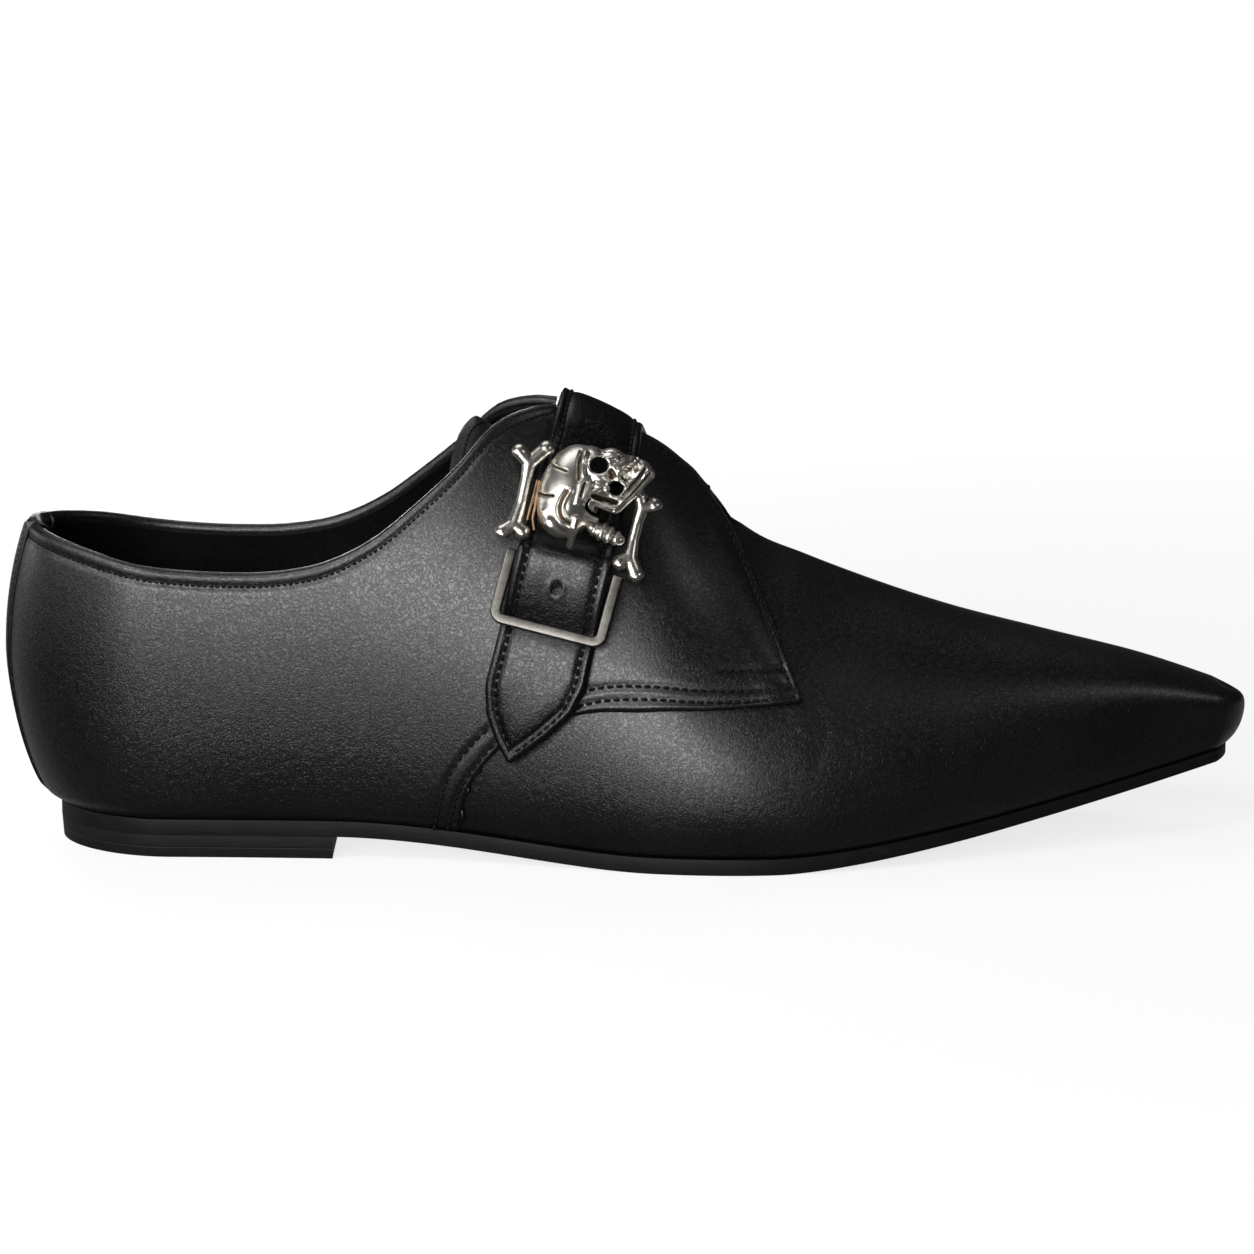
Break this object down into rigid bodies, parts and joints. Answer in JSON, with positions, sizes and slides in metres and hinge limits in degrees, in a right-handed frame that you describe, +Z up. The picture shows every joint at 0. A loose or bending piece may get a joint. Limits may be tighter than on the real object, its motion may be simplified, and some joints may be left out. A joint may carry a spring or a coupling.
{
  "type": "pointed-toe monk strap shoe",
  "caption": "Right-foot pointed leather shoe with derby quarters, an instep strap and a cast skull-and-bones buckle.",
  "frame": {"origin": "middle of the shoe's outline on the floor", "axes": "+X towards the toe, -Y towards the outer (lateral) side with the buckle, +Z up"},
  "size_m": [0.3153, 0.0973, 0.1167],
  "materials": {
    "sole_leather": "black burnished edge",
    "heel_rubber": "black matt",
    "insole_leather": "black matt lining",
    "vamp_leather": "black semi-matt calf",
    "tongue_leather": "black semi-matt calf",
    "quarter_leather": "black semi-matt calf with fine grain",
    "strip_leather": "black semi-matt calf",
    "strap_leather": "black, slightly glossier",
    "frame_metal": "antique nickel, brushed",
    "ornament_metal": "antique silver, polished on the high places"
  },
  "bodies": {
    "root": {"outsole": "sole_leather", "heel": "heel_rubber", "insole": "insole_leather", "upper": "vamp_leather", "tongue": "tongue_leather", "quarter_lateral": "quarter_leather", "quarter_medial": "quarter_leather", "back_strip": "strip_leather", "strap": "strap_leather", "buckle_frame": "frame_metal", "buckle_skull": "ornament_metal", "buckle_bone_rear": "ornament_metal", "buckle_bone_front": "ornament_metal", "buckle_prong": "ornament_metal"}
  },
  "joints": []
}
